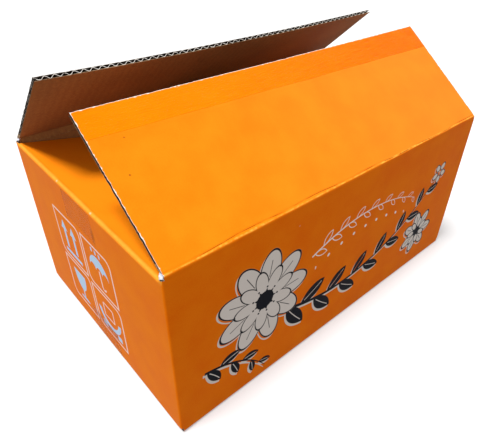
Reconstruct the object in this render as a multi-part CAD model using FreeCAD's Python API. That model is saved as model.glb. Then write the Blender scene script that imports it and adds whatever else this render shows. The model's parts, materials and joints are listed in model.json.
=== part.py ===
"""Slotted shipping carton of single-wall corrugated board, opened after use.

One printed sheet is creased, slotted, folded and glued into four walls with flaps at both ends.
The bottom flaps are closed and taped. The tape over the top seam has been slit: half of it stays
on each long flap and its ends stay on the end panels. Millimetres, +Z up. The origin is the centre
of the base, X runs along the long panels, and the front panel faces -Y.
"""
import FreeCAD, Part
import os
from math import asin, atan2, cos, hypot, radians, sin, sqrt, tan

# Outside of the carton
carton_length = 356.0
carton_width = 225.0
carton_height = 156.0

# The board: two liners with a fluted medium between them
board = 3.0
liner = 0.45
medium = 0.35
flute_pitch = 6.6
crushed_margin = 4.0

# Creases and slots
corner_radius = 2.0
crease_radius = 2.0
slot_inset = 2.0
slot_reach = 0.5
layer_gap = 0.3
end_flap_clearance = 1.0

# The two long flaps, which turn on their creases
top_seam_gap = 3.0
crease_gap = 0.3
hinge_offset = 0.2
front_flap_angle = 36.8
rear_flap_angle = 41.0

# The end flaps, folded in and drooping
left_end_flap_length = 111.0
right_end_flap_length = 111.0
left_end_flap_droop = 11.0
right_end_flap_droop = 9.0

# The closed bottom
bottom_seam_gap = 1.0
bottom_end_flap_length = 111.0

# The glued lap inside the rear right corner
lap_width = 35.0
lap_slant = 15.0
lap_clearance = 2.0

# The tape
tape_width = 45.0
tape_film = 0.06
front_strip_left = 19.5
front_strip_right = 25.0
end_tape_drop = 28.0
bottom_tape_shift = -3.0
bottom_tape_turn_up = 32.0

half_length = carton_length / 2
half_width = carton_width / 2
floor_of_board = tape_film
mitre_setback = crease_gap / sqrt(2)
long_flap_root = mitre_setback + board + crushed_margin
long_flap_length = half_width - top_seam_gap / 2
long_flap_half = half_length - slot_inset
end_flap_half = half_width - board - end_flap_clearance
end_crease_height = carton_height - board - layer_gap
inner_layer_floor = floor_of_board + board + layer_gap
rear_strip_left = tape_width - top_seam_gap - front_strip_left
rear_strip_right = tape_width - top_seam_gap - front_strip_right

X_AXIS = FreeCAD.Vector(1, 0, 0)
Y_AXIS = FreeCAD.Vector(0, 1, 0)
Z_AXIS = FreeCAD.Vector(0, 0, 1)
ORIGIN = FreeCAD.Vector(0, 0, 0)

# How near two coordinates or directions are when they count as the same
same_place = 0.01
same_direction = 1e-6


def polygon_face(points):
    """A flat face through the given points."""
    corners = [FreeCAD.Vector(*p) for p in points]
    return Part.Face(Part.makePolygon(corners + corners[:1]))


def prism_along_x(points_yz, x0, x1):
    face = polygon_face([(x0, y, z) for y, z in points_yz])
    return face.extrude(FreeCAD.Vector(x1 - x0, 0, 0))


def prism_along_y(points_xz, y0, y1):
    face = polygon_face([(x, y0, z) for x, z in points_xz])
    return face.extrude(FreeCAD.Vector(0, y1 - y0, 0))


def prism_along_z(points_xy, z0, z1):
    face = polygon_face([(x, y, z0) for x, y in points_xy])
    return face.extrude(FreeCAD.Vector(0, 0, z1 - z0))


def flute_cells(width):
    """The empty cells of the board's section, as triangles in X and Z under the printed face at Z 0.

    The medium runs in straight legs between the liners, so that each cell is a triangle on a liner.
    """
    depth = board - 2 * liner
    leg = medium * hypot(flute_pitch / 2, depth) / depth
    half_base = (flute_pitch - leg) / 2
    cell_height = depth * (flute_pitch - leg) / flute_pitch
    top = -liner
    bottom = liner - board
    cells = []
    count = int(width / flute_pitch) + 2
    for i in range(-count, count + 1):
        x = i * flute_pitch / 2
        base, tip = (bottom, bottom + cell_height) if i % 2 == 0 else (top, top - cell_height)
        if abs(x) - half_base < width / 2:
            cells.append(polygon_face([(x - half_base, 0, base), (x + half_base, 0, base), (x, 0, tip)]))
    return cells


def fluted_board(width, start, end):
    """Board whose flutes run along Y from start to end, its printed face up at Z 0, centred on X."""
    half = width / 2
    section = polygon_face([(-half, 0, -board), (half, 0, -board), (half, 0, 0), (-half, 0, 0)])
    section = section.cut(Part.Compound(flute_cells(width)))
    section.translate(FreeCAD.Vector(0, start, 0))
    return section.extrude(FreeCAD.Vector(0, end - start, 0))


def single_solid(shape):
    """The one solid of a fused shape, with the seams between its coplanar faces removed."""
    cleaned = shape.removeSplitter()
    if len(cleaned.Solids) != 1:
        raise RuntimeError("the fused piece is in %d solids" % len(cleaned.Solids))
    return cleaned.Solids[0]


def rounded_edges(solid, radius, chosen):
    edges = [e for e in solid.Edges if chosen(e)]
    return solid.makeFillet(radius, edges)


def runs_along(edge, axis):
    if not isinstance(edge.Curve, (Part.Line, Part.LineSegment)):
        return False
    return edge.tangentAt(edge.FirstParameter).cross(axis).Length < same_direction


def wall_ring():
    """The four walls between the slots, which run a little past the rounded creases."""
    z0 = inner_layer_floor + crease_radius + slot_reach
    z1 = end_crease_height - crease_radius - slot_reach
    outer = Part.makeBox(carton_length, carton_width, z1 - z0, FreeCAD.Vector(-half_length, -half_width, z0))
    outer = rounded_edges(outer, corner_radius, lambda e: runs_along(e, Z_AXIS))
    inner = Part.makeBox(
        carton_length - 2 * board,
        carton_width - 2 * board,
        z1 - z0,
        FreeCAD.Vector(board - half_length, board - half_width, z0),
    )
    return outer.cut(inner)


def long_panel():
    """The front wall with its bottom flap, from the mitre under the top crease to the bottom seam."""
    outside = -half_width
    inside = board - half_width
    seam = -bottom_seam_gap / 2
    base = floor_of_board
    top_outside = carton_height - mitre_setback
    section = [
        (outside, base),
        (seam, base),
        (seam, base + board),
        (inside, base + board),
        (inside, top_outside - board),
        (outside, top_outside),
    ]
    panel = prism_along_x(section, -long_flap_half, long_flap_half)

    def bottom_crease(edge):
        at_base = edge.BoundBox.ZMax < base + same_place
        return runs_along(edge, X_AXIS) and at_base and edge.BoundBox.YMax < outside + same_place

    return rounded_edges(panel, crease_radius, bottom_crease)


def end_panel(top_length, droop):
    """The left wall between its slots, with its bottom flap and its drooping top flap."""
    outside = -half_length
    inside = board - half_length
    base = inner_layer_floor
    crease = end_crease_height
    angle = radians(droop)
    root_end = (outside + crushed_margin * cos(angle), crease - crushed_margin * sin(angle))
    root_under = (root_end[0] - board * sin(angle), root_end[1] - board * cos(angle))
    inner_corner = (inside, crease - board / cos(angle) - board * tan(angle))
    section = [
        (outside, base),
        (outside + crushed_margin, base),
        (outside + crushed_margin, base + board),
        (inside, base + board),
        inner_corner,
        root_under,
        root_end,
        (outside, crease),
    ]
    wall = prism_along_y(section, -end_flap_half, end_flap_half)

    def outer_crease(edge):
        return runs_along(edge, Y_AXIS) and edge.BoundBox.XMax < outside + same_place

    wall = rounded_edges(wall, crease_radius, outer_crease)
    top_flap = fluted_board(2 * end_flap_half, crushed_margin, top_length)
    top_flap.rotate(ORIGIN, X_AXIS, -droop)
    top_flap.rotate(ORIGIN, Z_AXIS, -90)
    top_flap.translate(FreeCAD.Vector(outside, 0, crease))
    bottom_flap = fluted_board(2 * end_flap_half, crushed_margin, bottom_end_flap_length)
    bottom_flap.rotate(ORIGIN, Z_AXIS, -90)
    bottom_flap.translate(FreeCAD.Vector(outside, 0, base + board))
    return wall.fuse([top_flap, bottom_flap])


def glue_lap():
    """The lap that carries on from the right wall and is glued inside the rear wall."""
    inside = half_length - board
    free = inside - lap_width
    slant = lap_width * tan(radians(lap_slant))
    low = inner_layer_floor + board + lap_clearance
    high = end_crease_height - board - lap_clearance - board * tan(radians(right_end_flap_droop))
    section = [(inside, low), (inside, high), (free, high - slant), (free, low + slant)]
    return prism_along_y(section, half_width - 2 * board, half_width - board)


def turned_round(shape):
    """A copy turned half a turn about Z, from the front to the rear or from left to right."""
    copy = shape.copy()
    copy.rotate(ORIGIN, Z_AXIS, 180)
    return copy


def carton_body():
    front = long_panel()
    left = end_panel(left_end_flap_length, left_end_flap_droop)
    right = turned_round(end_panel(right_end_flap_length, right_end_flap_droop))
    return single_solid(wall_ring().fuse([front, turned_round(front), left, right, glue_lap()]))


def long_flap():
    """A long flap as if closed: its crease on X at the origin, its printed face up, reaching to +Y."""
    half = long_flap_half
    root = [
        (mitre_setback, 0),
        (mitre_setback + board, -board),
        (long_flap_root, -board),
        (long_flap_root, 0),
    ]
    root_piece = prism_along_x(root, -half, half)
    sheet = fluted_board(2 * half, long_flap_root, long_flap_length)
    return single_solid(root_piece.fuse(sheet))


def flap_tape(left_width, right_width):
    """Slit tape on a closed long flap, along its free edge, of one width at each end."""
    half = long_flap_half
    edge = long_flap_length
    outline = [(-half, edge - left_width), (half, edge - right_width), (half, edge), (-half, edge)]
    return prism_along_z(outline, 0, tape_film)


def on_front_crease(shape):
    """Carries a closed front flap's piece to the front crease and opens it to its angle."""
    placed = shape.copy()
    placed.translate(FreeCAD.Vector(0, -half_width, carton_height))
    pivot = FreeCAD.Vector(0, -half_width - hinge_offset, carton_height + hinge_offset)
    placed.rotate(pivot, X_AXIS, front_flap_angle)
    return placed


def on_rear_crease(shape):
    """Carries a closed flap's piece to the rear crease and opens it to its angle."""
    placed = turned_round(shape)
    placed.translate(FreeCAD.Vector(0, half_width, carton_height))
    pivot = FreeCAD.Vector(0, half_width + hinge_offset, carton_height + hinge_offset)
    placed.rotate(pivot, X_AXIS, -rear_flap_angle)
    return placed


def end_tape(near_edge, far_edge):
    """The end of the slit top tape, flat on the left end panel between two places on Y."""
    high = end_crease_height - crease_radius
    low = end_crease_height - end_tape_drop
    outside = -half_length
    section = [(outside - tape_film, low), (outside, low), (outside, high), (outside - tape_film, high)]
    return prism_along_y(section, near_edge, far_edge)


def film_section(path, thickness):
    """A strip of film on a path of (x, z) points, as a closed outline with its thickness to the right."""
    headings = [atan2(b[1] - a[1], b[0] - a[0]) for a, b in zip(path, path[1:])]
    outer = []
    for i, (x, z) in enumerate(path):
        before = headings[max(i - 1, 0)]
        after = headings[min(i, len(headings) - 1)]
        middle = (before + after) / 2
        reach = thickness / cos((after - before) / 2)
        outer.append((x + reach * sin(middle), z - reach * cos(middle)))
    return path + outer[::-1]


def bottom_tape():
    """Tape under the bottom seam, turned up at both ends and taut over the rounded end creases."""
    centre_in = half_length - crease_radius - long_flap_half
    centre_up = inner_layer_floor + crease_radius - floor_of_board
    lean = atan2(centre_in, centre_up) + asin(crease_radius / hypot(centre_in, centre_up))
    bend_height = floor_of_board + slot_inset / tan(lean)
    half_path = [
        (half_length, bottom_tape_turn_up),
        (half_length, bend_height),
        (long_flap_half, floor_of_board),
    ]
    path = [(-x, z) for x, z in half_path] + half_path[::-1]
    y0 = bottom_tape_shift - tape_width / 2
    return prism_along_y(film_section(path, tape_film), y0, y0 + tape_width)


def build():
    seam = top_seam_gap / 2
    flap = long_flap()
    return {
        "carton_body": carton_body(),
        "front_flap": on_front_crease(flap),
        "rear_flap": on_rear_crease(flap),
        "bottom_tape": bottom_tape(),
        "front_flap_tape": on_front_crease(flap_tape(front_strip_left, front_strip_right)),
        "rear_flap_tape": on_rear_crease(flap_tape(rear_strip_right, rear_strip_left)),
        "left_end_tape": end_tape(-seam - front_strip_left, seam + rear_strip_left),
        "right_end_tape": turned_round(end_tape(-seam - rear_strip_right, seam + front_strip_right)),
    }


os.makedirs("parts", exist_ok=True)
for node, shape in build().items():
    box = shape.BoundBox
    print(
        "%-16s solids %d valid %s volume %.1f mm3  x %.2f..%.2f  y %.2f..%.2f  z %.2f..%.2f"
        % (node, len(shape.Solids), shape.isValid(), shape.Volume,
           box.XMin, box.XMax, box.YMin, box.YMax, box.ZMin, box.ZMax)
    )
    shape.exportStep("parts/%s.step" % node)
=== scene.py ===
"""A slotted shipping carton of printed corrugated board, opened after use. Metres, +Z up."""
import json
import math

import bmesh
import bpy
from mathutils import Matrix, Vector, noise


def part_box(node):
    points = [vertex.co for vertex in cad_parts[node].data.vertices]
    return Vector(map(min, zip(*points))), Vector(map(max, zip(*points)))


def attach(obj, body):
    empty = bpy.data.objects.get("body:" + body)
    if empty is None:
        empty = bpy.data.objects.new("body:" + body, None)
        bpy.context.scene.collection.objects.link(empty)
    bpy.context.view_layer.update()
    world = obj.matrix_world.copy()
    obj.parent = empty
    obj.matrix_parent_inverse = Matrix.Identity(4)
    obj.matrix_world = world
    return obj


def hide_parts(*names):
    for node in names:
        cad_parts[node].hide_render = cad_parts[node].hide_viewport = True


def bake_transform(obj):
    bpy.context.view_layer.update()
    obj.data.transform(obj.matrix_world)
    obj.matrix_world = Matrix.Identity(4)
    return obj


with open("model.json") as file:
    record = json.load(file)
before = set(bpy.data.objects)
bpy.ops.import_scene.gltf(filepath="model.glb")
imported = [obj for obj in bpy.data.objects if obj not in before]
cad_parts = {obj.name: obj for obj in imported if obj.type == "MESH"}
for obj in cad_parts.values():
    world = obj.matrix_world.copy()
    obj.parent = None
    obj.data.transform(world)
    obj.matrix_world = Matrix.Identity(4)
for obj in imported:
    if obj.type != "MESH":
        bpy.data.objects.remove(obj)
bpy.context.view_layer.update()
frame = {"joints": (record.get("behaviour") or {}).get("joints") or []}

# The printed outer liner of the walls, the end flaps and the bottom flaps.
# One sheet of white-coated paper, printed orange while flat. It is glued to the fluted medium,
# creased, slotted at the corners and folded into four walls, with the rear right corner as its seam.
low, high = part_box("carton_body")
half_length = high.x
half_width = high.y
carton_height = 0.156
board = 0.003
liner = 0.0003
flute_pitch = 0.0066
layer_gap = 0.0003
long_base = low.z
end_base = long_base + board + layer_gap
end_crease = carton_height - board - layer_gap
end_flap_reach = 0.111
long_bottom_reach = 0.11245
left_droop = 11.0
right_droop = 9.0
long_slot_inset = 0.002
end_slot_inset = 0.004
corner_bend = 0.0014
crease_bend = 0.0026
slot_tab = 0.0012
band_below = 0.006
wall_top = carton_height - band_below
seam_gap = 0.0005
hair = 1e-6

length = 2 * half_length
width = 2 * half_width
corners = [0, length, length + width, 2 * length + width, 2 * length + 2 * width]
panel_starts = [(half_length, half_width), (-half_length, half_width),
                (-half_length, -half_width), (half_length, -half_width)]
panel_runs = [(-1, 0), (0, -1), (1, 0), (0, 1)]
left_turn = math.radians(90 + left_droop)
right_turn = math.radians(90 + right_droop)
top_bend_reach = crease_bend * math.tan(left_turn / 2)
slot_bottom = end_crease - top_bend_reach
slot_top = end_base + crease_bend


def spread(start, end, step):
    """Evenly spaced places from start to end, about a step apart."""
    count = max(1, round((end - start) / step))
    return [start + (end - start) * i / count for i in range(count + 1)]


def crushed(along, depth):
    """Board is scored at a crease, so its depth shrinks there."""
    crush, crush_reach = 0.55, 0.008
    near = max(0.0, 1 - (along / crush_reach) ** 2) ** 2
    return depth * (1 - crush * near)


def fold_over(along, depth, radius, turn):
    """A point of a sheet that turns inward at along 0, as (run before the crease, inward)."""
    depth = crushed(along, depth)
    reach = radius * math.tan(turn / 2)
    if along <= -reach:
        return along, depth
    angle = turn * min(1, (along + reach) / (2 * reach))
    past = max(0, along - reach)
    run = -reach + (radius - depth) * math.sin(angle) + past * math.cos(angle)
    inward = radius - (radius - depth) * math.cos(angle) + past * math.sin(angle)
    return run, inward


def swell(s, t):
    """How far the sheet stands proud of flat, in slow waves. The bottom only swells inward."""
    slow = 0.00028 * noise.noise(Vector((s / 0.08, t / 0.06, 3.1)))
    slow += 0.00008 * noise.noise(Vector((s / 0.042, t / 0.04, 7.7)))
    up_the_wall = min(1.0, max(0.0, t / 0.02))
    return slow * up_the_wall - abs(slow) * (1 - up_the_wall)


def hump(along, place, wide):
    """A smooth hump, 1 high at its place."""
    return math.exp(-(((along - place) / wide) ** 2))


def crease_ridge(s, along):
    """The bead that scoring raises along a crease, uneven along its length."""
    bead = 0.00022 * hump(along, -0.0005, 0.0014)
    return bead * (1 + 0.8 * noise.noise(Vector((s / 0.012, along / 0.004, 1.7))))


def panel_at(s):
    """The wall that a place round the blank is on: 0 rear, 1 left, 2 front, 3 right."""
    return max(i for i in range(4) if s >= corners[i] or i == 0)


def on_carton(s, t, depth):
    """Folds a point of the flat blank: s runs round the walls, t up them, depth into the board."""
    panel = panel_at(s)
    depth -= swell(s, t)
    is_end = panel % 2 == 1
    base = end_base if is_end else long_base
    x, y = panel_starts[panel]
    run_x, run_y = panel_runs[panel]
    along = s - corners[panel]
    to_next = s - corners[panel + 1]
    inward = depth
    z = t
    slot = end_slot_inset if is_end else long_slot_inset
    in_slot = t > slot_bottom and min(along, -to_next) < slot - hair
    if is_end and t > slot_bottom and not in_slot:
        turn = left_turn if panel == 1 else right_turn
        past_crease = t - end_crease
        run, inward = fold_over(past_crease, depth - crease_ridge(s, past_crease), crease_bend, turn)
        z = end_crease + run
    elif t < base + crease_bend:
        run, inward = fold_over(base - t, depth, crease_bend, math.pi / 2)
        z = base - run
    elif slot_top - hair < t < slot_bottom + hair or in_slot:
        if to_next > -corner_bend * 2:
            run, inward = fold_over(to_next, depth, corner_bend, math.pi / 2)
            along = corners[panel + 1] - corners[panel] + run
        elif along < corner_bend * 2:
            run, turned = fold_over(along, depth, corner_bend, math.pi / 2)
            x_before, y_before = panel_runs[panel - 1]
            x += x_before * run - y_before * turned
            y += y_before * run + x_before * turned
            return Vector((x, y, z))
    return Vector((x + run_x * along - run_y * inward, y + run_y * along + run_x * inward, z))


def slab(columns, rows, depth, thickness, kept=None):
    """A flat slab of paper over a grid of places, at its depth under the printed face."""
    bm = bmesh.new()
    bmesh.ops.create_grid(bm, x_segments=len(columns) - 1, y_segments=len(rows) - 1, size=1)
    for v in bm.verts:
        i = round((v.co.x + 1) / 2 * (len(columns) - 1))
        j = round((v.co.y + 1) / 2 * (len(rows) - 1))
        v.co = (columns[i], rows[j], 0)
    if kept:
        gone = [f for f in bm.faces if not kept(f.calc_center_median().x, f.calc_center_median().y)]
        bmesh.ops.delete(bm, geom=gone, context="FACES")
    bmesh.ops.solidify(bm, geom=bm.faces[:], thickness=thickness)
    for v in bm.verts:
        v.co.z = -depth - abs(v.co.z)
    bmesh.ops.recalc_face_normals(bm, faces=bm.faces[:])
    return bm


def folded(bm, name, place, face_up, face_down, edge):
    """Marks a flat slab's faces, keeps its flat places as a UV map and folds it into place."""
    blank = bm.loops.layers.uv.new("blank")
    bm.normal_update()
    steep = 0.7
    sharp = 1.0
    for face in bm.faces:
        face.smooth = True
        up = face.normal.z
        face.material_index = 0 if up > steep else 1 if up < -steep else 2
        for loop in face.loops:
            loop[blank].uv = loop.vert.co.xy
    for e in bm.edges:
        if len(e.link_faces) == 2 and e.calc_face_angle() > sharp:
            e.smooth = False
    for v in bm.verts:
        v.co = place(v.co.x, v.co.y, -v.co.z)
    mesh = bpy.data.meshes.new(name)
    bm.to_mesh(mesh)
    bm.free()
    for material in (face_up, face_down, edge):
        mesh.materials.append(material)
    piece = bpy.data.objects.new(name, mesh)
    bpy.context.scene.collection.objects.link(piece)
    return piece


near_corner = [0.0005, 0.001, 0.0014, 0.002, 0.003, 0.004, 0.0055]
columns = []
for start, end in zip(corners, corners[1:]):
    columns.append(start)
    columns += [start + o for o in near_corner[:-1]]
    columns += spread(start + near_corner[-1], end - near_corner[-1], 0.0055)
    columns += [end - o for o in reversed(near_corner[:-1])]
columns.append(corners[-1])
columns[0] = seam_gap

crease_rows = [o * 0.001 for o in (-8, -6.5, -5.2, -4.2, -3.4, -2.7, -2.1, -1.5, -0.9, -0.3,
                                   0.3, 0.9, 1.5, 2.1, 2.7, 3.4, 4.2, 5.2, 6.5, 8)]
rows = [long_base - long_bottom_reach, end_base - end_flap_reach]
rows += spread(rows[-1] + 0.006, -0.012, 0.008)
rows += [o * 0.001 for o in (-10, -8, -6.5, -5, -4, -3, -2.2, -1.4, -0.6,
                             0.2, 1, 1.8, 2.6, 3.4, 4.2, 5)]
rows += [slot_top] + spread(0.0075, slot_bottom - 0.009, 0.0055)
rows += [slot_bottom - 0.005, slot_bottom - 0.002, slot_bottom, wall_top]
rows += [end_crease + o for o in crease_rows if end_crease + o > wall_top + 0.0002]
rows += spread(end_crease + 0.01, end_crease + end_flap_reach, 0.005)


def on_the_blank(s, t):
    """Whether this sheet has paper here: none in the slots, past a flap's end or over a long wall."""
    panel = panel_at(s)
    is_end = panel % 2 == 1
    inset = min(s - corners[panel], corners[panel + 1] - s)
    slot = end_slot_inset if is_end else long_slot_inset
    if (t > end_crease + slot_tab or t < slot_top) and inset < slot:
        return False
    if t > wall_top and not is_end and inset > slot:
        return False
    return not (is_end and t < end_base - end_flap_reach)


class Field:
    """A number over a surface, as a shader socket. Python's operators add Math nodes."""

    def __init__(self, shader, socket):
        self.shader = shader
        self.socket = socket

    def maths(self, operation, *values):
        return self.shader.node("ShaderNodeMath", {"operation": operation}, dict(enumerate(values)))

    def __add__(self, other):
        return self.maths("ADD", self, other)

    __radd__ = __add__

    def __sub__(self, other):
        return self.maths("SUBTRACT", self, other)

    def __rsub__(self, other):
        return self.maths("SUBTRACT", other, self)

    def __mul__(self, other):
        return self.maths("MULTIPLY", self, other)

    __rmul__ = __mul__

    def __truediv__(self, other):
        return self.maths("DIVIDE", self, other)

    def __abs__(self):
        return self.maths("ABSOLUTE", self)

    def min(self, other):
        return self.maths("MINIMUM", self, other)

    def max(self, other):
        return self.maths("MAXIMUM", self, other)

    def wrapped(self, period):
        """The rest within -period/2..period/2."""
        return self.maths("FLOORED_MODULO", self + period / 2, period) - period / 2

    def sign(self):
        return self.maths("SIGN", self)

    def sin(self):
        return self.maths("SINE", self)

    def cos(self):
        return self.maths("COSINE", self)

    def root(self):
        return self.maths("SQRT", self)

    def inside(self, softness=0.00015):
        """1 where a distance is negative, with a soft edge."""
        return self.shader.node(
            "ShaderNodeMapRange",
            {"interpolation_type": "SMOOTHSTEP"},
            {0: self, 1: softness, 2: -softness, 3: 0.0, 4: 1.0},
        )

    def ramp(self, low, high):
        """0 at low, 1 at high, smooth between and held beyond."""
        return self.shader.node(
            "ShaderNodeMapRange",
            {"interpolation_type": "SMOOTHSTEP"},
            {0: self, 1: low, 2: high, 3: 0.0, 4: 1.0},
        )


class Shader:
    """The nodes of a material or of the world, with one method that adds any of them."""

    def __init__(self, owner):
        self.owner = owner
        owner.use_nodes = True
        self.tree = owner.node_tree
        self.tree.nodes.clear()

    def node(self, kind, settings=None, inputs=None, output=0):
        node = self.tree.nodes.new(kind)
        for key, value in (settings or {}).items():
            setattr(node, key, value)
        for key, value in (inputs or {}).items():
            if isinstance(value, Field):
                self.tree.links.new(value.socket, node.inputs[key])
            else:
                node.inputs[key].default_value = value
        return Field(self, node.outputs[output]) if node.outputs else node

    def noise(self, scale, detail, where):
        return self.node("ShaderNodeTexNoise", {}, {"Vector": where, "Scale": scale, "Detail": detail})

    def stretched(self, where, scale):
        return self.node("ShaderNodeMapping", {}, {"Vector": where, "Scale": scale})

    def blank(self):
        """The flat blank's own places: as a vector, along the walls and up them."""
        where = self.node("ShaderNodeUVMap", {"uv_map": "blank"})
        return where, *(self.node("ShaderNodeSeparateXYZ", {}, {0: where}, i) for i in range(2))

    def mix(self, low, high, factor):
        return self.node("ShaderNodeMix", {"data_type": "RGBA"}, {0: factor, 6: low, 7: high}, 2)

    def surface(self, inputs):
        principled = self.node("ShaderNodeBsdfPrincipled", {}, inputs)
        self.node("ShaderNodeOutputMaterial", {}, {0: principled})
        return self.owner


def srgb(red, green, blue):
    """A colour as printed, from 0 to 255, in the shader's linear numbers."""
    linear = []
    for c in (red, green, blue):
        linear.append(((c / 255 + 0.055) / 1.055) ** 2.4 if c > 10 else c / 255 / 12.92)
    return (*linear, 1.0)


orange_ink = srgb(238, 108, 2)
# Worn orange, also the painted lit tint of the flaps and end walls.
worn_and_lit_orange = srgb(252, 142, 20)
# Painted highlight colour for the creases.
crease_highlight_orange = srgb(255, 184, 70)
# A paler orange, for the right end of the flaps.
paler_orange = srgb(250, 136, 64)
black_ink = srgb(18, 20, 27)
pale_ink = srgb(226, 216, 208)
white_ink = srgb(250, 240, 234)
pink_ink = srgb(255, 222, 210)
blue_ink = srgb(196, 222, 250)
bare_paper = srgb(240, 232, 226)
# Painted shade colour for the furrows by the long creases and under a wrinkle.
painted_shade_brown = srgb(132, 54, 2)
speck_brown = srgb(120, 62, 22)

front_middle = corners[2] + half_length
left_middle = corners[1] + half_width


def ellipse(x, y, across, up):
    """Distance outside an ellipse round the origin, near enough for print."""
    return (((x / across) * (x / across) + (y / up) * (y / up)).root() - 1) * min(across, up)


def disc(x, y, radius):
    """Distance outside a disc round the origin. Negative inside."""
    return (x * x + y * y).root() - radius


def bar(x, y, half_across, half_up, rounding=0.0):
    """Distance outside a bar round the origin, with rounded corners. Negative inside."""
    over_x = abs(x) - (half_across - rounding)
    over_y = abs(y) - (half_up - rounding)
    out_x = over_x.max(0.0)
    out_y = over_y.max(0.0)
    return (out_x * out_x + out_y * out_y).root() + over_x.max(over_y).min(0.0) - rounding


def lens(along, aside, long, bulge):
    """Distance outside a leaf that lies along from 0 to long. Its sides are arcs."""
    shift = math.sqrt(bulge * bulge - long * long / 4)
    middle = along - long / 2
    return disc(middle, aside + shift, bulge).max(disc(middle, aside - shift, bulge))


def leafy_branch(x, y, centre, radius, first, last, pitch, leaf, stem, tilt=38.0, hang=1):
    """A branch along an arc, from one angle to another, with leaves on alternate sides."""
    dx = x - centre[0]
    dy = y - centre[1]
    angle = dx.maths("ARCTAN2", dx, dy * -hang)
    from_arc = ((dx * dx + dy * dy).root() - radius) * -hang
    run = (angle - first) * radius
    reach = (last - first) * radius
    ends = (0 - run).max(run - reach)
    share = (run / reach).max(0.0).min(1.0)
    line = (abs(from_arc) - (1.3 - share) * stem).max(ends)
    lower = from_arc.maths("LESS_THAN", from_arc, 0.0)
    size = 1.12 - 0.52 * share
    turn = math.radians(tilt)
    from_leaf = (run + lower * pitch).wrapped(2 * pitch)
    past_ends = (pitch * 0.4 - (run - from_leaf)).max(run - from_leaf - reach)
    u = from_leaf / size + leaf * math.cos(turn) / 2
    v = abs(from_arc) / size
    along = u * math.cos(turn) + v * math.sin(turn)
    aside = v * math.cos(turn) - u * math.sin(turn)
    blade = lens(along, aside, leaf, leaf * 0.7)
    vein = (abs(aside) - 0.00035).max(abs(along - leaf * 0.5) - leaf * 0.36)
    return line, blade.max(past_ends), vein


def bloom(x, y, centre, petals, reach, across, start=0.0):
    """Petals round a centre, as a distance, with the distance from the centre."""
    dx = x - centre[0]
    dy = y - centre[1]
    out = (dx * dx + dy * dy).root()
    angle = (dx.maths("ARCTAN2", dy, dx) + start).wrapped(2 * math.pi / petals)
    return ellipse(out * angle.cos() - reach * 0.6, out * angle.sin(), reach * 0.4, across), out, angle


def outlined(distance, line):
    """The line inside a shape's border."""
    return distance.max(0 - (distance + line))


def front_print(x, y):
    """The front panel's ornament. Returns its black and its pale parts as distances."""
    stem, blade, vein = leafy_branch(x, y, (-0.004, 0.232), 0.185, -0.40, 0.80,
                                     pitch=0.0165, leaf=0.031, stem=0.0013)
    black = stem.min(blade.max(0 - vein))
    stem, blade, vein = leafy_branch(x, y, (-0.168, -0.034), 0.085, 0.16, 1.02,
                                     pitch=0.0112, leaf=0.021, stem=0.0010, hang=-1)
    black = black.min(stem).min(blade.max(0 - vein))
    pale = None
    for centre, count, reach in (((-0.098, 0.087), 9, 0.045), ((0.117, 0.045), 7, 0.026)):
        petals, out, angle = bloom(x, y, centre, count, reach, reach * 0.23)
        inner, _, _ = bloom(x, y, centre, count, reach * 0.66, reach * 0.14, math.pi / count)
        thread = (abs(out * angle.sin()) - 0.0003).max(abs(out - reach * 0.62) - reach * 0.16)
        heart = out - reach * 0.19
        dots = disc(out - reach * 0.27, out * angle.sin(), 0.0009)
        lines = outlined(petals.min(inner), 0.0010).min(outlined(inner, 0.0008))
        lines = lines.min(thread).min(heart).min(dots)
        black = black.max(0 - petals).min(lines)
        pale = petals.min(inner) if pale is None else pale.min(petals).min(inner)
    bud, _, _ = bloom(x, y, (0.1335, 0.1085), 5, 0.012, 0.0036, 0.3)
    black = black.min(outlined(bud, 0.0008))
    return black, pale.min(bud)


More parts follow.
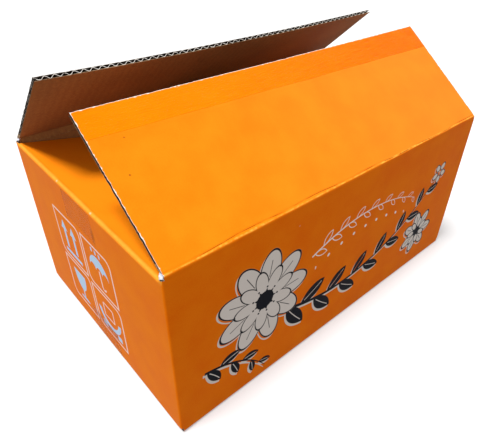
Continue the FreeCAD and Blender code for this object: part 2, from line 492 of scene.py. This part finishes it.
def printed_liner(name):
    """Orange ink on white-coated paper, with a satin varnish, prints, scuffs and chipped edges, painted
    highlights on the creases, painted shade in the furrows, and a painted lit tint on the flaps and end
    walls.
    """
    sh = Shader(bpy.data.materials.new(name))
    where, s, t = sh.blank()
    x = s - front_middle
    mottle = sh.noise(38.0, 4.0, where)
    fine = sh.noise(900.0, 2.0, where)
    jag = sh.noise(330.0, 3.0, where)
    patch = sh.noise(60.0, 2.0, where)
    on_flap = (t - carton_height).ramp(-0.001, 0.001)
    on_end = (abs(x.wrapped(length + width)) - half_length).ramp(0.0, 0.001)
    # Scuffed wear in patches, plus a painted lit tint: the upward flaps and the end walls are paler and
    # yellower because of how the light falls on them.
    wear_and_lit_tint = (mottle * 0.7 + fine * 0.3).ramp(0.3, 0.7) * 0.4 + on_flap * 0.5 + on_end * 0.3
    colour = sh.mix(orange_ink, worn_and_lit_orange, wear_and_lit_tint)
    # The flaps turn paler towards their right end.
    colour = sh.mix(colour, paler_orange, x.ramp(-half_length, half_length) * on_flap * 0.3)

    on_front = bar(x, t - carton_height / 2, half_length - 0.001, carton_height / 2 - 0.004).inside()
    shadow = 0.0017
    black, pale = front_print(x, t)
    shade, _ = front_print(x + shadow, t + shadow)
    colour = sh.mix(colour, pale_ink, shade.min(pale).inside() * on_front)
    colour = sh.mix(colour, black_ink, black.inside() * on_front)
    sprig_x, sprig_y = 0.018, -0.058
    stem, blade, _ = leafy_branch(x, t, (sprig_x, sprig_y), 0.172, -0.40, 0.46,
                                  pitch=0.0098, leaf=0.0145, stem=0.0006, tilt=34.0, hang=-1)
    from_seed = (x - sprig_x).wrapped(0.0155)
    seeds = disc(from_seed, disc(x - sprig_x, t - sprig_y, 0.157), 0.0015)
    seeds = seeds.max(abs(x - sprig_x) - 0.062)
    sprig = stem.min(outlined(blade, 0.0008)).min(seeds)
    colour = sh.mix(colour, white_ink, sprig.inside() * on_front)

    fills, lines = handling_marks(s - left_middle, t)
    colour = sh.mix(colour, blue_ink, fills)
    colour = sh.mix(colour, pink_ink, lines)

    crease_highlights, chips, painted_shade_marks, specks = wear(sh, where, s, t, jag, patch)
    # Painted highlights along the creases, where the folds catch the light.
    colour = sh.mix(colour, crease_highlight_orange, crease_highlights)
    # Painted shade in the furrows and under a wrinkle.
    colour = sh.mix(colour, painted_shade_brown, painted_shade_marks)
    colour = sh.mix(colour, speck_brown, specks)
    colour = sh.mix(colour, bare_paper, chips)

    washboard = (s * (2 * math.pi / flute_pitch)).sin()
    height = washboard * 0.000006 + sh.noise(150.0, 3.0, where) * 0.00005 + fine * 0.000006
    bump = sh.node("ShaderNodeBump", {}, {"Strength": 1.0, "Distance": 1.0, "Height": height})
    rough = 0.44 + mottle * 0.12 + chips * 0.3
    return sh.surface({
        "Base Color": colour,
        "Roughness": rough,
        "Normal": bump,
        "Specular IOR Level": 0.015,
    })


def handling_marks(x, y):
    """Four framed handling marks: arrows, umbrella, goblet and held box. Fills and lines, 0 to 1."""
    step = 0.0249
    frame_half = 0.0237
    px = x + 0.0085
    py = y - 0.0705
    right = px.maths("GREATER_THAN", px, 0.0)
    above = py.maths("GREATER_THAN", py, 0.0)
    left = 1 - right
    below = 1 - above
    u = px - px.sign() * step
    v = py - py.sign() * step
    rounding = 0.0042 + (u * v).sign() * 0.0036
    line = outlined(bar(u, v, frame_half, frame_half, rounding), 0.0018)

    shaft = bar(abs(u) - 0.0080, v + 0.0015, 0.0019, 0.0105)
    head = (abs(abs(u) - 0.0080) * 0.9 + (v - 0.0165) * 0.5).max(0.0065 - v)
    arrows = shaft.min(head).min(bar(u, v + 0.0165, 0.0150, 0.0018))
    canopy = disc(u, v + 0.0015, 0.0150).max(0 - v - 0.0015)
    canopy = canopy.max(0 - disc(u.wrapped(0.0100), v + 0.0020, 0.0048))
    handle = bar(u, v + 0.0080, 0.0009, 0.0080)
    hook = (abs(disc(u - 0.0026, v + 0.0155, 0.0026)) - 0.0009).max(v + 0.0155)
    drops = ellipse(u.wrapped(0.0062), v - 0.0180, 0.0013, 0.0022).max(abs(u) - 0.0105)
    bowl = ellipse(u, v - 0.0150, 0.0105, 0.0210).max(v - 0.0150)
    goblet = bowl.min(bar(u, v + 0.0100, 0.0011, 0.0060)).min(ellipse(u, v + 0.0165, 0.0085, 0.0016))
    held = outlined(bar(u, v - 0.0050, 0.0085, 0.0078, 0.002), 0.0015)
    palms = (abs(disc(u, v - 0.0030, 0.0158)) - 0.0022).max(v + 0.0010 - abs(u) * 0.2)
    wrists = bar(abs(u) - 0.0122, v + 0.0160, 0.0036, 0.0030, 0.001)
    fills = (arrows.inside() * left * above).max(canopy.min(drops).inside() * right * above)
    fills = fills.max(goblet.inside() * left * below).max(palms.min(wrists).inside() * right * below)
    lines = line.inside().max(handle.min(hook).inside() * right * above)
    lines = lines.max(held.inside() * right * below)
    on_panel = (abs(x) - 0.1).max(abs(y - carton_height / 2) - 0.06).inside()
    return fills * on_panel, lines * on_panel


def furrow_path(x, sine):
    """How far up a long flap the furrow by its crease runs, over its distance from the middle."""
    slow_wave = sine(x * -18.0) * 0.0009
    quick_wave = sine(x * 94.0) * 0.0004
    return slow_wave + quick_wave + 0.0017


def wear(sh, where, s, t, jag, patch):
    """Painted highlights on the folds, white chips on the cut edges, painted shade in the furrows by
    the long creases and under a wrinkle by the left end tape, and specks.
    """
    from_middle = (s - front_middle).wrapped(length + width)
    on_long = (abs(from_middle) - half_length).inside()
    on_flap = (carton_height - t).inside()
    past_crease = t - carton_height
    past_end_crease = t - end_crease

    edge_line = 0.00012
    to_end = carton_height + end_flap_reach - t
    end_bites = (jag - 0.5).max(0.0) * (patch - 0.3).max(0.0) * 0.016
    chips = (to_end - 0.00025 - end_bites).inside(edge_line)
    to_side = half_length - long_slot_inset - abs(from_middle)
    side_bites = (jag - 0.52).max(0.0) * 0.0035
    side_chips = (to_side - edge_line - side_bites).inside(edge_line)
    chips = chips.max(side_chips * on_flap * (0 - to_side - 0.001).inside())

    # Painted highlight: a patchy band along each long crease, and a softer, wider one along each end
    # crease.
    fold = (abs(past_crease - 0.0007) - 0.0005 - (patch - 0.5) * 0.0020).inside(0.0004)
    fold = fold * (jag - 0.2).ramp(0.1, 0.5)
    end_crease_highlight = (abs(past_end_crease - 0.0002) - 0.0019 - (patch - 0.5) * 0.0016).inside(0.0017)
    end_crease_highlight = end_crease_highlight * (jag * 0.5 + 0.3)
    crease_highlights = (fold * on_long).max(end_crease_highlight * (1 - on_long))

    # Painted shade: a dark line, broken in places, in the furrow above each long crease, and a dark
    # spot under a wrinkle by the left end tape.
    furrow_shade_breaks = sh.noise(1.0, 3.0, sh.stretched(where, (55.0, 700.0, 1.0)))
    furrow = (abs(past_crease - furrow_path(from_middle, Field.sin)) - 0.0003).inside(0.0004)
    furrow = furrow * (furrow_shade_breaks - 0.42).ramp(0.0, 0.14) * 0.75
    wrinkle_shade = ellipse(s - (left_middle + 0.0205), t - 0.131, 0.0022, 0.0065).inside(0.0016)
    painted_shade_marks = (furrow * on_long).max(wrinkle_shade * 0.4)

    dots = disc(s - (front_middle - 0.163), past_crease - 0.0625, 0.0006)
    dots = dots.min(disc(s - (front_middle - 0.154), past_crease - 0.0863, 0.0005))
    cells = sh.node("ShaderNodeTexVoronoi", {"feature": "F1"}, {"Vector": where, "Scale": 24.0})
    specks = dots.inside(0.0004).max((cells - 0.009).inside(0.004) * 0.6) * 0.75
    nicks = disc(s - (left_middle - 0.0314), past_end_crease, 0.0009)
    nicks = nicks.min(disc(s - (left_middle + 0.0233), past_end_crease, 0.0010))
    nicks = nicks.min(disc(s - (front_middle - 0.0669), t - 0.139, 0.0005))
    return crease_highlights, chips.max(nicks.inside(0.0006) * 0.35), painted_shade_marks, specks


def kraft(name, lit, dark, low=0.3, high=0.75):
    """Unbleached kraft paper: brown, dull, with fibres and faint lines over the flutes."""
    sh = Shader(bpy.data.materials.new(name))
    where, s, _ = sh.blank()
    fibre = sh.noise(9.0, 5.0, sh.stretched(where, (60.0, 42.0, 60.0)))
    cloud = sh.noise(24.0, 3.0, where)
    lines = (s * (2 * math.pi / flute_pitch)).sin()
    shade = (fibre * 0.6 + cloud * 0.4 + lines * 0.03).ramp(low, high)
    colour = sh.mix(dark, lit, shade)
    height = lines * 0.00002 + fibre * 0.00005
    bump = sh.node("ShaderNodeBump", {}, {"Strength": 1.0, "Distance": 1.0, "Height": height})
    rough = 0.78 + fibre * 0.12
    return sh.surface({
        "Base Color": colour,
        "Roughness": rough,
        "Normal": bump,
        "Specular IOR Level": 0.25,
    })


printed = printed_liner("printed_orange_liner")
brown = kraft("brown_kraft_liner", srgb(166, 112, 60), srgb(140, 91, 47))
# Painted shade: the liners' faces towards the flutes are near-black, so that the cells at the cut edges
# look dark.
shade_darkened_kraft = kraft("shaded_kraft_side", srgb(62, 46, 34), srgb(38, 27, 19))
white_edge = kraft("cut_white_edge", srgb(240, 232, 222), srgb(104, 86, 70), 0.38, 0.62)
brown_edge = kraft("cut_kraft_edge", srgb(188, 158, 124), srgb(104, 78, 54), 0.38, 0.62)

outer = slab(columns, rows, 0.0, liner, on_the_blank)
carton_printed = folded(outer, "carton_printed_liner", on_carton, printed, shade_darkened_kraft, white_edge)
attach(carton_printed, "carton")
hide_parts("carton_body")

# The brown inner liner of the walls, the end flaps and the bottom flaps.
# Plain kraft paper, glued to the other side of the medium. It is crushed into every crease,
# so that the board bends there.
inner = slab(columns, rows, board - liner, liner, on_the_blank)
carton_inner = folded(inner, "carton_inner_liner", on_carton, shade_darkened_kraft, brown, brown_edge)
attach(carton_inner, "carton")

# The fluted medium of the end flaps, at the top and at the bottom.
# A paper rolled into waves that run up the walls, so that the flaps' free edges show them.
medium = 0.0004
wave_steps = 12


def flute_depth(s):
    """The depth of the wavy medium's upper face, between the liners."""
    middle = board / 2 - medium / 2
    swing = board / 2 - liner - medium / 2
    return middle + swing * math.cos(2 * math.pi * s / flute_pitch)


def fluted(start, end, rows_across, place, name):
    """A medium over a stretch of the blank."""
    waves = slab(spread(start, end, flute_pitch / wave_steps), rows_across, 0.0, medium)

    def wavy(s, t, depth):
        return place(s, t, flute_depth(s) + depth)

    return folded(waves, name, wavy, fluting, fluting, highlit_fluting_edge)


# Painted shade: the medium's faces are near-black, so that the cells between the liners look dark.
fluting = kraft("shade_darkened_fluting_paper", srgb(70, 52, 38), srgb(44, 31, 22))
# The medium's cut edge: pale paper, lightened further to near white as a painted highlight.
highlit_fluting_edge = kraft("cut_fluting_edge", srgb(250, 246, 240), srgb(226, 216, 204))
flute_inset = 0.0002
for side, panel in (("left", 1), ("right", 3)):
    start = corners[panel] + end_slot_inset + flute_inset
    end = corners[panel + 1] - end_slot_inset - flute_inset
    top = [end_crease + o for o in crease_rows if o > -0.0025]
    top += spread(end_crease + 0.012, end_crease + end_flap_reach - flute_inset, 0.014)
    bottom = spread(end_base - end_flap_reach + flute_inset, -0.012, 0.02)
    bottom += [o * 0.001 for o in (-8, -6, -4, -2.5, -1, 0.5, 2, 3.5, 5)]
    for rows_across, end_name in ((top, "top"), (bottom, "bottom")):
        flutes = fluted(start, end, rows_across, on_carton, "%s_%s_flap_flutes" % (side, end_name))
        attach(flutes, "carton")

# The glued lap, which carries on from the right wall behind the rear wall.
# Board with slanted ends, crushed flat where it is glued.
lap_reach = 0.035
lap_slant = math.tan(math.radians(15))
lap_low = end_base + board + 0.002
lap_high = end_crease - board - 0.0025


def on_lap(along, share_up, depth):
    """The lap's ends slant, and it thins away from its corner."""
    t = lap_low + (lap_high - lap_low) * share_up
    t += lap_slant * along * (1 - 2 * (t - lap_low) / (lap_high - lap_low))
    thinned = depth * (1 - 0.35 * (along / lap_reach))
    lift = 0.00035 * noise.noise(Vector((along / 0.012, t / 0.03, 5.0)))
    return Vector((half_length - board - along, half_width - board - 0.0001 - thinned - lift, t))


lap_board = slab(spread(0.0, lap_reach, 0.002), spread(0.0, 1.0, 0.04), 0.0, board * 0.8)
lap = folded(lap_board, "glue_lap", on_lap, brown, brown, brown_edge)
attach(lap, "carton")

# The two long flaps. Each is a sheet of the same board with its own liners and flutes,
# and turns on the scored crease at the top of its wall.
joints = {j["name"]: j for j in frame["joints"]}
long_flaps = {}
for side in ("front", "rear"):
    joint = joints[side + "_flap_crease"]
    angle = math.radians(-joint["range_deg"][0])
    pivot_out = abs(joint["pos_m"][1]) - half_width
    pivot_up = joint["pos_m"][2] - carton_height
    foot_out = pivot_out * (1 - math.sin(angle))
    corner_height = carton_height + pivot_up * (1 - math.cos(angle)) + foot_out * math.tan(angle)
    long_flaps[side] = (angle, corner_height)

bead_bend = 0.0025
band_above = 0.009
band_low = wall_top
band_high = carton_height + band_above
long_flap_end = carton_height + end_flap_reach
wall_start = {"front": corners[2], "rear": corners[0]}
bows = {"front": (-0.0012, -0.0002), "rear": (-0.0022, 0.0004)}


def flap_bow(side, s, t):
    """How far a long flap bends out of flat: most at the middle of its free edge."""
    middle, ends = bows[side]
    across = (s - wall_start[side] - half_length) / half_length
    past = max(0.0, t - carton_height) / end_flap_reach
    return (middle + (ends - middle) * across * across) * past ** 1.5


def bead(side, s, along):
    """The uneven bead along a long crease, with a furrow under it."""
    uneven = noise.noise(Vector((s / 0.012, along / 0.003, 5.0)))
    fine = noise.noise(Vector((s / 0.005, along / 0.0012, 2.0)))
    furrow_at = furrow_path(s - wall_start[side] - half_length, math.sin)
    ridge = 0.00022 * hump(along, 0.0006, 0.0009)
    furrow = 0.00050 * hump(along, furrow_at, 0.0006)
    low_furrow = 0.00008 * hump(along, -0.0040, 0.0008)
    grain = 0.0001 * fine * hump(along, 0.0, 0.005)
    lip = 0.00003 * min(1.0, max(0.0, (-0.004 - along) / 0.002))
    relief = ridge * (1 + uneven) - (furrow + low_furrow) * (1 + 0.9 * uneven) + grain
    reach = band_below if along < 0 else band_above
    return relief * max(0.0, 1 - (along / reach) ** 2) + lip


def on_long_flap(side):
    """The fold of one long crease and its flap, as a function of the flat blank's places."""
    angle, corner_height = long_flaps[side]
    start = wall_start[side]
    sign = -1 if side == "front" else 1

    def place(s, t, depth):
        along = t - carton_height
        depth -= swell(s, t) + flap_bow(side, s, t) + (bead(side, s, along) if depth < board / 2 else 0)
        run, inward = fold_over(along, depth, bead_bend, math.pi / 2 - angle)
        x = (s - start - half_length) * -sign
        rise = (corner_height - carton_height) * min(1, max(0, (t - wall_top) / band_below))
        return Vector((x, sign * (half_width - inward), carton_height + run + rise))

    return place


def ragged(start, end, bite, least, sheet):
    """A sheet's cut edges step back unevenly: by least, and by up to bite more."""
    at_edge = 0.00001

    def place(s, t, depth):
        if t > long_flap_end - at_edge:
            chip = noise.noise(Vector((s / 0.006, 11.0, bite)))
            chip += 0.6 * noise.noise(Vector((s / 0.0018, 4.0, 0.0)))
            t -= least + bite * max(0.0, chip)
        chip = noise.noise(Vector((t / 0.005, 17.0, bite)))
        chip += 0.7 * noise.noise(Vector((t / 0.0016, 6.0, bite)))
        if s < start + at_edge:
            s += least + bite * max(0.0, chip + 0.2)
        if s > end - at_edge:
            s -= least + bite * max(0.0, chip + 0.2)
        return sheet(s, t, depth)

    return place


flap_rows = spread(band_high, long_flap_end - 0.0015, 0.0015) + [long_flap_end]
medium_rows = spread(band_high, long_flap_end - 0.003, 0.004) + [long_flap_end]
medium_inset = 0.0004
for side in ("front", "rear"):
    body = side + "_flap"
    fold = on_long_flap(side)
    first = wall_start[side] + long_slot_inset
    last = wall_start[side] + length - long_slot_inset
    across = [first] + spread(first + 0.0012, last - 0.0012, 0.0018) + [last]
    top = folded(slab(across, flap_rows, 0.0, liner), body + "_printed_liner",
                 ragged(first, last, 0.0005, 0.0, fold), printed, shade_darkened_kraft, white_edge)
    under = folded(slab(across, flap_rows, board - liner, liner), body + "_inner_liner",
                   ragged(first, last, 0.0004, 0.0, fold), shade_darkened_kraft, brown, brown_edge)
    first += medium_inset
    last -= medium_inset
    uneven = ragged(first, last, 0.0016, 0.0001, fold)
    flutes = fluted(first, last, medium_rows, uneven, body + "_flutes")
    for piece in (top, under, flutes):
        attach(piece, body)
    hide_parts(body)

# The scored creases that carry the long flaps.
# Board crushed by the scoring wheel, still covered by both liners.
band_rows = spread(band_low, band_high, 0.00035)
for side in ("front", "rear"):
    start = wall_start[side]
    fold = on_long_flap(side)
    across = spread(start + long_slot_inset, start + length - long_slot_inset, 0.0014)
    band = slab(across, band_rows, 0.0, board)
    band = folded(band, side + "_crease", fold, printed, brown, brown_edge)
    middle = start + half_length
    side + "_flap"
    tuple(fold(middle, band_low, board))
    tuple(fold(middle, band_high, board))
    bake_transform(band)

# The clear tape: the slit halves on the two long flaps, the ends left on the end walls,
# and the strip under the bottom seam, turned up at both ends. Thin glossy film over the print.
film = 0.00006
film_lift = 0.00008
tape_width = 0.045


def clear_tape(name, tint, amount, other_tint, middle=None, reach=None):
    """Clear film: glossy, slightly rippled. It deepens the print, holds dirt along its side edges, and
    has a painted violet sheen near its turned-up ends.
    """
    sh = Shader(bpy.data.materials.new(name))
    where, s, _ = sh.blank()
    along = (s - front_middle).wrapped(length + width)
    ripple = sh.noise(70.0, 2.0, where)
    cloud = sh.noise(60.0, 2.0, where)
    height = ripple * 0.00008
    bump = sh.node("ShaderNodeBump", {}, {"Strength": 1.0, "Distance": 1.0, "Height": height})
    # Shifts to the other tint in clouds and towards the right end of the carton.
    tint_shift = cloud.ramp(0.4, 0.7) * 0.4 + along.ramp(-half_length, half_length) * 0.6
    colour = sh.mix(tint, other_tint, tint_shift)
    alpha = amount + (cloud - 0.5) * amount
    if middle:
        side_edge = tape_width / 2
        dirt_and_sheen = abs(s - middle).ramp(side_edge - 0.0012, side_edge - 0.0003) * cloud.ramp(0.3, 0.6)
        colour = sh.mix(colour, srgb(120, 46, 10), dirt_and_sheen)
        alpha = alpha.max(dirt_and_sheen * 0.6)
    # Painted sheen: a violet tint in clouds near the tape's ends, up the end walls.
    if reach:
        dirt_and_sheen = abs(s).ramp(reach - 0.0085, reach - 0.003) * cloud.ramp(0.3, 0.55)
        colour = sh.mix(colour, srgb(164, 118, 122), dirt_and_sheen)
        alpha = alpha.max(dirt_and_sheen * 0.42)
    return sh.surface({
        "Base Color": colour,
        "Roughness": 0.13 + cloud * 0.1,
        "Normal": bump,
        "Alpha": alpha,
        "Specular IOR Level": 0.03,
    })


tape_film = clear_tape("clear_packing_tape", srgb(255, 168, 0), 0.45, srgb(240, 98, 0))
tape_glue = clear_tape("tape_glue_side", srgb(240, 130, 40), 0.015, srgb(230, 160, 110))


def strip(name, body, place, columns_of, rows_of, node, material):
    """A piece of tape over part of the blank, just above the printed face."""
    bm = slab(columns_of, rows_of, -film - film_lift, film)
    piece = folded(bm, name, place, material, tape_glue, material)
    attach(piece, body)
    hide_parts(node)
    return piece


def round_the_blank(side, y):
    """Where a point of an end wall lies round the flat blank."""
    return corners[1] + half_width - y if side == "left" else corners[3] + half_width + y


seam = 0.003
front_left, front_right = 0.0195, 0.025
rear_left, rear_right = tape_width - seam - front_right, tape_width - seam - front_left
for side, at_start, at_end in (("front", front_left, front_right), ("rear", rear_left, rear_right)):
    start = wall_start[side]
    fold = on_long_flap(side)

    def over_flap(s, share, depth):
        wide = at_start + (at_end - at_start) * (s - start) / length
        wander = 0.0004 * noise.noise(Vector((s / 0.05, 8.0, 1.0)))
        return fold(s, long_flap_end - 0.0007 - (wide + wander) * share, depth)

    across = spread(start + long_slot_inset + 0.0008, start + length - long_slot_inset - 0.0008, 0.0018)
    strip(side + "_flap_tape_film", side + "_flap", over_flap, across, spread(0.0, 1.0, 0.125),
          side + "_flap_tape", tape_film)

for side in ("left", "right"):
    box_low, box_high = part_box(side + "_end_tape")
    first, last = sorted(round_the_blank(side, y) for y in (box_low.y, box_high.y))
    end_film = clear_tape(side + "_end_packing_tape", srgb(200, 84, 8), 0.12, srgb(176, 74, 12),
                          middle=(first + last) / 2)

    def torn_below(s, t, depth):
        if t < box_low.z + hair:
            t += 0.0006 * noise.noise(Vector((s / 0.002, 3.0, 3.0)))
        return on_carton(s, t, depth)

    strip(side + "_end_tape_film", "carton", torn_below, spread(first, last, 0.0012),
          spread(box_low.z, slot_bottom, 0.003), side + "_end_tape", end_film)

tape_low, tape_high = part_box("bottom_tape")
flat_half = half_length - long_slot_inset
edge_rise = 0.005
edge_slope = math.hypot(long_slot_inset, edge_rise)
edge_lean = math.atan2(edge_rise, long_slot_inset)


def under_seam(x, across, depth):
    """The tape's run: up one end wall, over the edge, along the bottom and up the other end."""
    y = tape_low.y + (tape_high.y - tape_low.y) * across
    if abs(x) <= flat_half:
        return Vector((x, y, long_base + depth))
    side = 1 if x > 0 else -1
    past = abs(x) - flat_half
    if past < edge_slope:
        out = flat_half + past * math.cos(edge_lean) - depth * math.sin(edge_lean)
        up = long_base + past * math.sin(edge_lean) + depth * math.cos(edge_lean)
        return Vector((side * out, y, up))
    up = long_base + edge_rise + past - edge_slope
    bulge = swell(round_the_blank("left" if side < 0 else "right", y), up)
    return Vector((side * (half_length + bulge - depth), y, up))


tape_reach = flat_half + edge_slope + tape_high.z - long_base - edge_rise
runs = spread(-tape_reach, -half_length + 0.001, 0.002)
runs += spread(-half_length + 0.006, half_length - 0.006, 0.008)
runs += spread(half_length - 0.001, tape_reach, 0.002)
bottom_film = clear_tape("bottom_packing_tape", srgb(200, 84, 8), 0.14, srgb(184, 80, 16),
                         reach=tape_reach)
strip("bottom_tape_film", "carton", under_seam, runs, spread(0.0, 1.0, 0.1), "bottom_tape", bottom_film)

# The torn paper in the ends of the top slots.
# The coated liner tears and crumples there as the flaps are bent, and shows its white fibres.
# It is still part of the sheet.
torn_paper = kraft("torn_white_paper", srgb(246, 244, 250), srgb(196, 200, 218))
paper_half = 0.0045
paper_step = 0.0005
corner_inset = 0.0022
tilt = Matrix.Rotation(math.radians(48), 3, "X")
for name, corner_x, corner_y, size in (("near_torn_corner", -1, -1, 0.62),
                                       ("right_torn_corner", 1, -1, 0.42),
                                       ("left_rear_torn_corner", -1, 1, 0.35)):
    turn = Matrix.Rotation(math.atan2(corner_x, -corner_y), 3, "Z") @ tilt
    seat = Vector((corner_x * (half_length - corner_inset), corner_y * (half_width - corner_inset),
                   end_crease + 0.0025))

    def crumpled(s, t, depth):
        s += 0.0010 * noise.noise(Vector((s / 0.0017, t / 0.0017, 3.0)))
        t += 0.0012 * noise.noise(Vector((s / 0.0017, t / 0.0017, 8.0)))
        lift = 0.0016 * noise.noise(Vector((s / 0.0028, t / 0.0028, seat.x * 40)))
        lift += 0.0007 * noise.noise(Vector((s / 0.0011, t / 0.0011, seat.y * 40)))
        fold = 0.0022 * (1 - abs(s) / paper_half)
        bow = -abs(s) * 0.45
        return seat + turn @ Vector((s * 0.8, t * 0.95, lift + fold + bow - depth)) * size

    scrap = slab(spread(-paper_half, paper_half, paper_step), spread(-0.0035, 0.0035, paper_step),
                 0.0, 0.00035)
    scrap = folded(scrap, name, crumpled, torn_paper, torn_paper, torn_paper)
    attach(scrap, "carton")

# The floor and the light.
# A white floor, a soft lamp overhead, a wide weak one low at the front left, and pale air.
def in_the_picture(shader):
    """1 for the rays that show a surface, and 0 for those that only light others with it."""
    rays = [shader.node("ShaderNodeLightPath", output="Is %s Ray" % kind)
            for kind in ("Camera", "Glossy", "Transmission")]
    return rays[0].max(rays[1]).max(rays[2])


floor_mesh = bpy.data.meshes.new("floor")
floor_bm = bmesh.new()
bmesh.ops.create_grid(floor_bm, x_segments=1, y_segments=1, size=6)
floor_bm.to_mesh(floor_mesh)
floor_bm.free()
floor = bpy.data.objects.new("floor", floor_mesh)
bpy.context.scene.collection.objects.link(floor)
floor_shader = Shader(bpy.data.materials.new("white_floor"))
seen = in_the_picture(floor_shader)
floor_mesh.materials.append(floor_shader.surface({
    "Base Color": floor_shader.mix((0.2, 0.2, 0.2, 1), (0.6, 0.6, 0.6, 1), seen),
    "Roughness": 0.9,
    "Specular IOR Level": 0.0,
    "Emission Color": floor_shader.mix((0, 0, 0, 1), (1, 1, 1, 1), seen),
    "Emission Strength": 0.3,
}))

world = bpy.data.worlds.new("pale_air")
bpy.context.scene.world = world
air = Shader(world)
air_strength = 0.42 + in_the_picture(air) * 0.58
pale = air.node("ShaderNodeBackground", {}, {"Color": (1, 1, 1, 1), "Strength": air_strength})
air.node("ShaderNodeOutputWorld", {}, {0: pale})

for name, towards, strength, softness in (("overhead_lamp", (-0.275, 0.01, 1.0), 3.35, 16.0),
                                          ("front_left_lamp", (-0.6, -0.78, 0.06), 0.86, 50.0)):
    lamp_data = bpy.data.lights.new(name, "SUN")
    lamp_data.energy = strength
    lamp_data.angle = math.radians(softness)
    lamp = bpy.data.objects.new(name, lamp_data)
    bpy.context.scene.collection.objects.link(lamp)
    lamp.rotation_mode = "QUATERNION"
    lamp.rotation_quaternion = Vector(towards).to_track_quat("Z", "Y")

# The camera, where the photograph was taken from.
image_width, image_height = 492, 448
focal_pixels = 462.4
centre_pixel = (261.1, 217.8)
eye = Vector((-0.265741, -0.284021, 0.330993))
heading = math.radians(43.230)
tilt = math.radians(35.459)
roll = math.radians(1.803)
camera_data = bpy.data.cameras.new("camera")
camera_data.sensor_width = 36.0
camera_data.lens = focal_pixels * camera_data.sensor_width / image_width
camera_data.shift_x = (image_width / 2 - centre_pixel[0]) / image_width
camera_data.shift_y = (centre_pixel[1] - image_height / 2) / image_width
camera = bpy.data.objects.new("camera", camera_data)
bpy.context.scene.collection.objects.link(camera)
turned_to = (Matrix.Rotation(-heading, 3, "Z") @ Matrix.Rotation(math.pi / 2 - tilt, 3, "X")
             @ Matrix.Rotation(roll, 3, "Z"))
camera.location = eye
camera.rotation_mode = "QUATERNION"
camera.rotation_quaternion = turned_to.to_quaternion()
bpy.context.scene.camera = camera
bpy.context.scene.view_settings.view_transform = "Standard"
